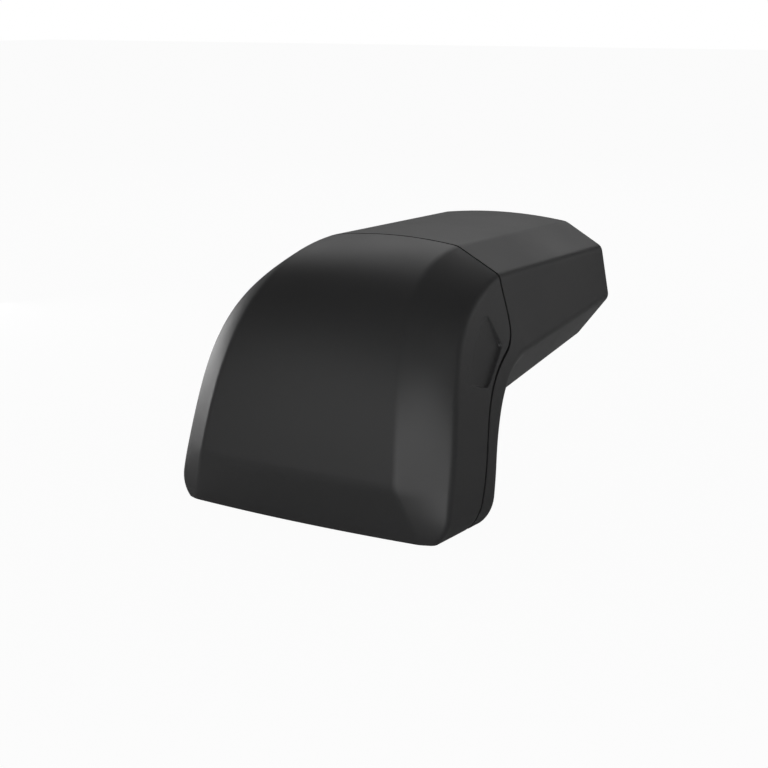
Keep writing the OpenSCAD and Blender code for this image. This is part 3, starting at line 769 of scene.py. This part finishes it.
def washer(inner, outer, low, t, radius):
    """A flat washer's solid."""
    return ring([(inner, low), (outer, low), (outer, low + t), (inner, low + t)], radius)


make_piece("steel_washer", *washer(BORE_R + 0.15, BUSH_R + 4, HEAD_Z, WASHER_T, 0.25),
           "foot", "zinc_steel", "bolt_washer")

CLAMP_R = 3
CLAMP_WASHER_T = 1.2
CLAMP_SEAT = ARM_LOW - CLAMP_WASHER_T
clamp_washer = washer(CLAMP_R + 0.2, 6, CLAMP_SEAT, CLAMP_WASHER_T, 0.2)
make_piece("bolt_washers", *repeated(*clamp_washer, [(0, y, 0) for y in CLAMP_Y]),
           "foot", "zinc_steel", "clamp_washers")


def socket(width, depth, top):
    """The end of a screw's profile: down a hexagon socket in a face at height top. Depth is
    negative for a socket in a face that looks down."""
    r = width / 2
    lead = 0.25 * np.sign(depth)
    return [(r + 0.35, top), (r, top - lead, 6), (r, top - depth, 6),
            (r * 0.4, top - depth * 1.12), (0.05, top - depth * 1.15)]


def screw(shank_r, head, tip, recess):
    """A screw's solid from its tip, along the shank and the head's points, into the recess."""
    profile = [(shank_r - 0.6, tip[0]), (shank_r, tip[1]), *head]
    return turned(rounded(profile, 0.35) + recess)


SADDLE_SCREW_Y = (44, 92)
SCREW_SEAT = 3
SHANK_R = SCREW_R - 0.15
saddle_top = BAR_Z - 0.22
saddle_head = [(SHANK_R, ARM_Z + 0.6), (2 * SCREW_R - 0.5, BAR_Z - 0.45),
               (2 * SCREW_R - 0.6, BAR_Z - 0.25), (2.4, saddle_top)]
saddle_screw = screw(SHANK_R, saddle_head, (ARM_LOW, ARM_LOW + 0.6), socket(2.5, 1.0, saddle_top))
make_piece("cradle_screws", *repeated(*saddle_screw, [(0, y, 0) for y in SADDLE_SCREW_Y]),
           "foot", "zinc_steel", "saddle_screws")


def under(y):
    """Height of the sleeve's outer floor at its middle."""
    return float(guide(5, np.float64(1 - (y - UNDER_Y) / (REACH - UNDER_Y)))[2])


shell_screws = []
for x, y in HOUSING_SCREW_AT:
    seat = under(y) + SCREW_SEAT
    head_r = 2 * SCREW_R - 0.2
    shell_head = [(SHANK_R, seat), (head_r, seat), (head_r, seat - 1.6), (head_r - 0.9, seat - 2.35),
                  (2.2, seat - 2.4)]
    solid = screw(SHANK_R, shell_head, (ARM_Z - 0.7, ARM_Z - 1.3), socket(3, -1.4, seat - 2.4))
    shell_screws.append(repeated(*solid, each_side([(x, y, 0)])))
make_piece("shell_screws", *joined(shell_screws), "foot", "black_steel", "housing_screws")

BASE_SCREW_AT = ((33, -2), (31, 16))
BASE_R = 2.5
BASE_SHANK_R = BASE_R - 0.05
base_low = PLATE_Z + 0.2
base_top = base_low + PLATE_T + FLOOR_T
base_head = [(BASE_SHANK_R, base_low + BASE_R), (2 * BASE_R - 0.1, base_low + 0.3),
             (2 * BASE_R - 0.3, base_low), (2.2, base_low)]
base_screw = screw(BASE_SHANK_R, base_head, (base_top - 0.6, base_top - 1.2), socket(3, -1.6, base_low))
make_piece("plate_screws", *repeated(*base_screw, each_side([(x, y, 0) for x, y in BASE_SCREW_AT])),
           "foot", "zinc_steel", "base_screws")

PEG_R = 3
EAR_T = 4
UPPER_EAR = (32, 14, 60)
LOWER_EAR = (34, 4, 24)
grommet = [(PEG_R + FIT, -1.5), (PEG_R + 2.75, -1.5), (PEG_R + 2.75, 0), (PEG_R + 1.5, 0),
           (PEG_R + 1.5, EAR_T), (PEG_R + FIT, EAR_T)]
for name, node, ear in (("ear_grommets_high", "upper_grommets", UPPER_EAR),
                        ("ear_grommets_low", "lower_grommets", LOWER_EAR)):
    pair = repeated(*ring(grommet, 0.4, 4), each_side([ear]), axis=(0, 1, 0))
    make_piece(name, *pair, "foot", "seal_rubber", node)

# %% [markdown]
# The pegs stand on the inside of the cover's front. That wall slants, so each peg's root is
# shaped by it: the root's points look up how far the wall's middle lies ahead of them.

# %% Cover pegs
LOOK_R = 1.2
MID_WALL = 1.3
outer_skin = cover_grid.points()


def wall_ahead(points):
    """For points in the cover's view from the front, the y of the middle of its wall."""
    found = []
    for x, _, z in points:
        near = (outer_skin[:, 0] - x) ** 2 + (outer_skin[:, 2] - z) ** 2 < LOOK_R ** 2
        found.append(outer_skin[near, 1].min() + MID_WALL)
    return np.array(found)


pegs = []
for x, ear_y, z in (UPPER_EAR, LOWER_EAR):
    tip = ear_y + EAR_T + 2
    profile = [(PEG_R + 1.6, tip - 34), (PEG_R, tip - 11), (PEG_R, tip - 1.5), (PEG_R - 1, tip), (0.5, tip)]
    points, faces = turned(rounded(profile, 1.0, 4))
    points = points[:, [0, 2, 1]] + [x, 0, z]
    points[:SIDES, 1] = wall_ahead(points[:SIDES])
    pegs.append((points, [f[:, ::-1] for f in faces]))
make_piece("cover_pegs", *mirrored(*joined(pegs)), "cover", "cover_plastic")

# %% [markdown]
# The screws' seats in the housing are bosses that stand on the sleeve's floor and reach up to
# the tower's arm. They are turned too.

# %% Bosses
bosses = []
for x, y in HOUSING_SCREW_AT:
    low, seat, top = under(y) + 0.5, under(y) + SCREW_SEAT, ARM_LOW - 0.05
    hole_r = SCREW_R + 0.2
    boss = [(SCREW_HOLE_R, low), (SCREW_R + 3.4, low), (SCREW_R + 2.5, top), (hole_r, top),
            (hole_r, seat), (SCREW_HOLE_R, seat)]
    bosses.append(repeated(*ring(boss, 0.3), [(x, y, 0)]))
make_piece("housing_bosses", *mirrored(*joined(bosses)), "foot", "housing_plastic")

# %% [markdown]
# The clamp bolts have a real M6 thread. Its rows climb with the angle, one pitch in a turn, so
# that the crest and the root are unbroken lines. Where the rows run past either end of the
# thread they are pressed flat against it, and points that fall together are merged.

# %% Clamp bolts
PITCH = 1
THREAD_DEPTH = 0.61
THREAD_SHAPE = np.array([1, 1, 0.62, 0.25, 0, 0, 0.25, 0.62])
ROWS_PER_TURN = len(THREAD_SHAPE)
NUT_LOW = BAR_Z + 0.3
BAR_SKIN = 2.5
NUT_T = 5
NUT_TRAVEL = 2
BOLT_TOP = NUT_LOW + BAR_SKIN + NUT_T + NUT_TRAVEL


def threaded(low, high, major):
    """Points and faces of a thread between two heights, closed at both ends."""
    count = int(np.ceil((high - low) / PITCH * ROWS_PER_TURN)) + ROWS_PER_TURN
    turn = np.arange(SIDES) / SIDES
    row = np.arange(count + 1)
    climb = row[:, None] / ROWS_PER_TURN * PITCH - PITCH + turn * PITCH
    shape = THREAD_SHAPE[row % ROWS_PER_TURN][:, None]
    height = np.clip(climb, 0, high - low)
    fade = np.clip(np.minimum(height, high - low - height) / (0.9 * PITCH), 0, 1)
    radius = major - THREAD_DEPTH + THREAD_DEPTH * shape * fade
    angle = 2 * np.pi * turn
    points = np.stack([radius * np.cos(angle), radius * np.sin(angle), low + height], -1).reshape(-1, 3)
    number = np.arange(len(points)).reshape(-1, SIDES)
    right = np.column_stack([number[:, 1:], number[np.minimum(row + ROWS_PER_TURN, count), 0]])
    faces = [np.stack([number[:-1], right[:-1], right[1:], number[1:]], -1).reshape(-1, 4)]
    return points, faces + [number[0][None, ::-1], number[-1][None]]


head_r = 1.75 * CLAMP_R
head_low = CLAMP_SEAT - 3.3
shank_top = CLAMP_SEAT + 6
head_profile = [
    (CLAMP_R - THREAD_DEPTH - 0.1, shank_top), (CLAMP_R - 0.05, shank_top - 0.5),
    (CLAMP_R - 0.05, CLAMP_SEAT), (head_r, CLAMP_SEAT), (head_r, CLAMP_SEAT - 1.3),
    (head_r * 0.93, CLAMP_SEAT - 2.3), (head_r * 0.76, head_low), (3, head_low)]
head = turned(rounded(head_profile, 0.4, 4) + socket(4, -2, head_low))
thread = threaded(shank_top - 0.3, BOLT_TOP, CLAMP_R - 0.02)
points, faces = joined([head, thread])
for side, y in zip(("outboard", "inboard"), CLAMP_Y):
    make_piece(side + "_button_bolt", points + [0, y, 0], faces,
               side + "_bolt", "black_steel", side + "_clamp_bolt")

# %% [markdown]
# The rubber gasket fills the ring between the sleeve's wall and the bar. Its outer line is the
# sleeve's own section and its inner line is the bar's, which is two arcs that meet at the edges.
# Both are sampled at the same angles about the bar's middle, and rows between them make lips.

# %% Gasket
GASKET_L = 9
GASKET_IN = 1.5
BAR_EDGE = 1.5
BAR_R = ((BAR_W / 2) ** 2 + (BAR_T / 2) ** 2) / BAR_T
BAR_MIDDLE = np.array([0, BAR_Z + BAR_T / 2])
RAY_COUNT = 240
ray_angle = np.arange(RAY_COUNT) / RAY_COUNT * 2 * np.pi
RAYS = np.column_stack([np.cos(ray_angle), np.sin(ray_angle)])


def star(outline):
    """Points where a closed outline crosses the rays from the bar's middle."""
    found = []
    a = outline - BAR_MIDDLE
    b = np.roll(a, -1, 0)
    for ray in RAYS:
        cross_a = ray[0] * a[:, 1] - ray[1] * a[:, 0]
        cross_b = ray[0] * b[:, 1] - ray[1] * b[:, 0]
        share = cross_a / np.where(cross_a == cross_b, 1, cross_a - cross_b)
        reach = lerp(a, b, share[:, None]) @ ray
        good = (cross_a * cross_b <= 0) & (cross_a != cross_b) & (reach > 0)
        found.append(BAR_MIDDLE + ray * reach[good].max())
    return np.array(found)


def bar_outline(gap):
    """Section of the bar, larger by gap all round: the least of two arcs and its cut edges."""
    out = []
    drop = BAR_R - BAR_T / 2
    for ray in RAYS:
        lean = abs(ray[1]) * drop
        arc = -lean + np.sqrt(lean ** 2 - drop ** 2 + (BAR_R + gap) ** 2)
        side = (BAR_W / 2 - BAR_EDGE + gap) / max(abs(ray[0]), 1e-9)
        out.append(BAR_MIDDLE + ray * min(arc, side))
    return np.array(out)


# Rows of the section: each one's share of the way to the bar's middle, or gap to the bar, and
# how far it lies behind the face
WALL_ROWS = ((0, GASKET_L), (0, 0.6), (0.006, 0.15), (0.018, 0))
BAR_ROWS = (
    (2.0, 0), (1.7, 0.5), (1.4, 0.5), (1.1, 0), (0.9, 0), (0.5, 0.1), (0.3, 0.5), (0.3, 1.6),
    (0.9, 2.2), (0.9, 4.2), (0.3, 4.8), (0.3, 6.2), (0.9, 6.8), (0.9, GASKET_L))
GASKET_DEPTH = WALL + 0.2
HALF_POINTS = 181

gasket_v = np.full(HALF_POINTS, GASKET_IN / (REACH - SEAM_Y))
half = place(gasket_v, np.linspace(0, LAST_S, HALF_POINTS), GASKET_DEPTH)[:, [0, 2]]
floor_at = place(np.float64(0), np.float64(LAST_S), GASKET_DEPTH)[2]
half[:, 1] = np.maximum(half[:, 1], floor_at)
outside = star(np.concatenate([half, half[-2:0:-1] * [-1, 1]]))
section = [(lerp(outside, BAR_MIDDLE, share), back) for share, back in WALL_ROWS]
section += [(bar_outline(gap), back) for gap, back in BAR_ROWS]
rows = [
    np.column_stack([outline[:, 0], np.full(RAY_COUNT, REACH - GASKET_IN - back), outline[:, 1]])
    for outline, back in section]
number = np.arange(len(rows) * RAY_COUNT).reshape(len(rows), -1)
faces = [
    np.stack([one, two, np.roll(two, -1), np.roll(one, -1)], -1)
    for one, two in zip(number, np.roll(number, -1, 0))]
make_piece("bar_gasket", np.concatenate(rows), faces, "foot", "seal_rubber", "end_gasket")

# %% [markdown]
# The castings and plates keep the shape of their models, whose corners are sharp. A real edge is
# never quite sharp, so a copy of each is made, flat faces are joined, and its edges are bevelled.

# %% Rounded copies
BEVEL_FROM = np.radians(35)
FLAT = np.radians(0.6)
SAME_POINT = 1e-6


def softened(node, name, body, slot, radius):
    """A copy of a CAD node with its edges rounded, which then stands for it."""
    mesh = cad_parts[node].data.copy()
    mesh.name = name
    mesh.materials.clear()
    b = bmesh.new()
    b.from_mesh(mesh)
    bmesh.ops.remove_doubles(b, verts=b.verts, dist=SAME_POINT)
    bmesh.ops.dissolve_limit(b, angle_limit=FLAT, verts=b.verts, edges=b.edges)
    sharp = [e for e in b.edges if len(e.link_faces) == 2 and e.calc_face_angle() > BEVEL_FROM]
    bmesh.ops.bevel(b, geom=sharp, offset=radius * MM, segments=2, profile=0.5, affect="EDGES",
                    clamp_overlap=True)
    bmesh.ops.triangulate(b, faces=[f for f in b.faces if len(f.verts) > 4])
    b.to_mesh(mesh)
    b.free()
    mesh.shade_smooth()
    mesh.set_sharp_from_angle(angle=SHARP)
    piece = add_object(name, mesh)
    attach(piece, body)
    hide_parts(node)
    weighted = piece.modifiers.new("even_normals", "WEIGHTED_NORMAL")
    weighted.keep_sharp = True
    dressed.setdefault(slot, []).append(piece)
    print(name, "faces", len(mesh.polygons), "open edges", open_edges(mesh))


softened("tower", "cast_tower", "foot", "cast_aluminium", 0.6)
softened("base_plate", "pressed_plate", "foot", "coated_steel", 0.35)
softened("base_pad", "moulded_pad", "foot", "pad_rubber", 0.4)
softened("bar_saddle", "moulded_cradle", "foot", "saddle_plastic", 0.3)
softened("bar_stop", "rubber_bumper", "foot", "seal_rubber", 0.4)
for side in ("outboard", "inboard"):
    softened(side + "_channel_nut", side + "_slot_nut", side + "_nut", "zinc_steel", 0.35)

# %% [markdown]
# A finish is a small network of shader nodes. Written as Python expressions it stays readable:
# the class below wraps a node's output, so that adding or multiplying two of them adds the Math
# node that does it. Every other kind of node comes from one method.


# %% Shader expressions
class Signal:
    """A node's output that takes part in arithmetic."""

    def __init__(self, finish, socket):
        self.finish = finish
        self.socket = socket

    def math(self, operation, *values):
        """A Math node's result."""
        return self.finish.node("ShaderNodeMath", {"operation": operation}, *values)

    def __add__(self, other):
        return self.math("ADD", self, other)

    def __mul__(self, other):
        return self.math("MULTIPLY", self, other)


class Finish:
    """A material's or the world's node network."""

    def __init__(self, tree):
        self.tree = tree
        tree.nodes.clear()

    def node(self, kind, settings=None, *inputs, out=0, **named):
        """A node of a type with its settings, then the values or links of its sockets."""
        made = self.tree.nodes.new(kind)
        for key, value in (settings or {}).items():
            setattr(made, key, value)
        for key, value in [*enumerate(inputs), *named.items()]:
            if value is None:
                continue
            socket = made.inputs[key.replace("_", " ") if isinstance(key, str) else key]
            if isinstance(value, Signal):
                self.tree.links.new(value.socket, socket)
            else:
                socket.default_value = value
        return Signal(self, made.outputs[out]) if made.outputs else None

    def noise(self, size, detail, stretch=(1, 1, 1)):
        """Noise on Object coordinates whose lumps are about size millimetres across."""
        where = self.node("ShaderNodeTexCoord", out="Object")
        scaled = self.node("ShaderNodeMapping", None, where, Scale=stretch)
        return self.node("ShaderNodeTexNoise", None, Vector=scaled, Scale=1 / (size * MM), Detail=detail)

    def mix(self, factor, dark, light):
        """A colour between two others. The node's sockets 1 to 5 are for other types of value."""
        return self.node("ShaderNodeMix", {"data_type": "RGBA"}, factor, *[None] * 5, dark, light, out=2)

    def bump(self, height, distance, strength):
        """A bump whose full height is distance millimetres."""
        return self.node("ShaderNodeBump", None, Height=height, Distance=distance * MM, Strength=strength)


def grey(value, tint=(0, 0, 0)):
    """A grey from its sRGB level, 0 to 255, turned linear, with a small tint."""
    level = [((value + t) / 255 + 0.055) / 1.055 for t in tint]
    return tuple(x ** 2.4 for x in level) + (1,)


def surface(name, recipe, **fixed):
    """A material: recipe gets a Finish and returns the links of the surface's sockets."""
    material = bpy.data.materials.new(name)
    material.use_nodes = True
    finish = Finish(material.node_tree)
    shader = finish.node("ShaderNodeBsdfPrincipled", None, **{**fixed, **recipe(finish)})
    finish.node("ShaderNodeOutputMaterial", None, shader)
    return material


# %% [markdown]
# The shells are moulded in black plastic. Their moulds are eroded to a fine even grain, which is
# what gives such a plastic its satin look, so the grain is a bump of two sizes of speckle. The
# colour hardly varies; the roughness varies slowly, as a moulding's flow makes it do.


# %% Plastic
def moulded(f):
    """Satin black plastic with an eroded grain."""
    speckle = f.noise(0.32, 3)
    lumps = f.noise(1.1, 2)
    flow = f.noise(26, 3)
    height = speckle * 0.7 + lumps * 0.3
    return {
        "Base_Color": f.mix(speckle * 0.5 + flow * 0.5, grey(46), grey(53, (0, 0, 1))),
        "Roughness": flow * 0.10 + speckle * 0.06 + 0.36,
        "Normal": f.bump(height, 0.02, 0.35)}


plastic = surface("moulded_plastic", moulded)

# %% [markdown]
# The other finishes are seen only with the cover off, from below or through the sleeve's end.
# Each is one recipe: blasted aluminium, black coat, zinc, rubber and nylon.


# %% Metals, rubber and nylon
def blasted(f):
    """Cast aluminium, evenly dulled by shot."""
    grain = f.noise(0.25, 4)
    cloud = f.noise(9, 3)
    return {
        "Base_Color": f.mix(cloud, grey(176), grey(190)),
        "Roughness": grain * 0.12 + cloud * 0.08 + 0.38,
        "Normal": f.bump(grain, 0.03, 0.5)}


def coated(f):
    """Black powder coat with a faint orange peel."""
    grain = f.noise(0.6, 3)
    return {
        "Base_Color": f.mix(grain, grey(30), grey(36)),
        "Roughness": f.noise(12, 2) * 0.12 + 0.36,
        "Normal": f.bump(grain, 0.012, 0.4)}


def plated(low, high):
    """Recipe of a plated steel between two greys, its plating slightly cloudy."""
    def recipe(f):
        cloud = f.noise(3.5, 3)
        fine = f.noise(0.3, 2)
        return {
            "Base_Color": f.mix(cloud, grey(low), grey(high)),
            "Roughness": cloud * 0.12 + fine * 0.06 + 0.22,
            "Normal": f.bump(fine, 0.006, 0.4)}
    return recipe


def rubber(f):
    """Dull rubber, clouded by its bloom."""
    bloom = f.noise(7, 4)
    grain = f.noise(0.5, 2)
    return {
        "Base_Color": f.mix(bloom, grey(26), grey(36)),
        "Roughness": bloom * 0.14 + 0.62,
        "Normal": f.bump(grain, 0.02, 0.4)}


def nylon(f):
    """Black nylon whose glass fibres show as short streaks."""
    fibre = f.noise(0.8, 4, stretch=(1, 0.25, 1))
    return {
        "Base_Color": f.mix(fibre, grey(38), grey(46)),
        "Roughness": fibre * 0.14 + 0.42,
        "Normal": f.bump(fibre, 0.015, 0.4)}


finishes = {
    "cover_plastic": plastic,
    "housing_plastic": plastic,
    "cast_aluminium": surface("blasted_aluminium", blasted, Metallic=1.0),
    "coated_steel": surface("black_coat", coated),
    "pad_rubber": surface("pad_rubber_finish", rubber),
    "seal_rubber": surface("seal_rubber_finish", rubber),
    "zinc_steel": surface("bright_zinc", plated(186, 204), Metallic=1.0),
    "black_steel": surface("black_zinc", plated(66, 80), Metallic=1.0),
    "saddle_plastic": surface("filled_nylon", nylon)}
for slot, pieces in dressed.items():
    for piece in pieces:
        piece.data.materials.append(finishes[slot])

# %% [markdown]
# The studio is plain: a pale floor, a dim sky that is brightest at the horizon, and eight
# softboxes, each of them placed where one or two facets need their light. The white backdrop is
# there for the camera alone, by way of Light Path, so that it adds no light to the object.

# %% Floor and light
WHITE = (1, 1, 1, 1)
FLOOR_SHARE = 0.96
FLOOR_HALF = 6000 * MM
HORIZON_LIGHT = 0.16
SKY_LIGHT = 0.06
SKY_FROM = 0.6

floor_mesh = bpy.data.meshes.new("floor")
corners = [(x * FLOOR_HALF, y * FLOOR_HALF, 0) for x, y in ((-1, -1), (1, -1), (1, 1), (-1, 1))]
floor_mesh.from_pydata(corners, [], [(0, 1, 2, 3)])
floor = add_object("floor", floor_mesh)
floor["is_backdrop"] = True
floor_material = bpy.data.materials.new("floor")
floor_material.use_nodes = True
f = Finish(floor_material.node_tree)
camera_ray = f.node("ShaderNodeLightPath", out="Is Camera Ray")
matt = f.node("ShaderNodeBsdfDiffuse", None, Color=(0.9, 0.9, 0.9, 1))
white = f.node("ShaderNodeEmission", None, Color=WHITE, Strength=1.0)
mixed = f.node("ShaderNodeMixShader", None, camera_ray * FLOOR_SHARE, matt, white)
f.node("ShaderNodeOutputMaterial", None, mixed)
floor_mesh.materials.append(floor_material)

world = bpy.data.worlds.new("world")
bpy.context.scene.world = world
world.use_nodes = True
f = Finish(world.node_tree)
direction = f.node("ShaderNodeTexCoord", out="Generated")
height = f.node("ShaderNodeSeparateXYZ", None, direction, out="Z")
camera_ray = f.node("ShaderNodeLightPath", out="Is Camera Ray")
low_light = f.node("ShaderNodeMapRange", {"clamp": True}, height, 0.0, SKY_FROM, 1.0, 0.0)
sky = f.node("ShaderNodeBackground", None, Color=WHITE, Strength=low_light * HORIZON_LIGHT + SKY_LIGHT)
white = f.node("ShaderNodeBackground", None, Color=WHITE, Strength=1.0)
f.node("ShaderNodeOutputWorld", None, f.node("ShaderNodeMixShader", None, camera_ray, sky, white))

AIM = Vector((0, 40, 45))


def soft_light(name, bearing, height, size, radiance, distance=1100):
    """A square softbox that looks at the foot. Its bearing is in degrees from the bar's
    direction towards the right, its height is in degrees above the floor."""
    data = bpy.data.lights.new(name, "AREA")
    data.size = size * MM
    data.energy = np.pi * (size * MM) ** 2 * radiance
    lamp = add_object(name, data)
    turn, rise = np.radians(bearing), np.radians(height)
    way = Vector((np.cos(rise) * np.sin(turn), np.cos(rise) * np.cos(turn), np.sin(rise)))
    lamp.location = (AIM + way * distance) * MM
    lamp.rotation_euler = (-way).to_track_quat("-Z", "Y").to_euler()


# Bearing, height, size, radiance, and the distance where it isn't the usual one
soft_light("front", 172, 16, 400, 2.0)
soft_light("front_right", 143, 7, 366, 2.7, 650)
soft_light("left", -78, -4, 210, 2.9, 420)
soft_light("behind_left", -36, 39, 680, 0.97)
soft_light("behind", -4, 27, 340, 1.15)
soft_light("left_front", -152, 17, 600, 0.75)
soft_light("right", 102, 40, 450, 0.5)
soft_light("behind_right", 36, 15, 450, 0.65)

# %% Finish
low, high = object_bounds()
{"cad": [list(cad_low), list(cad_high)], "visual": [list(low), list(high)]}
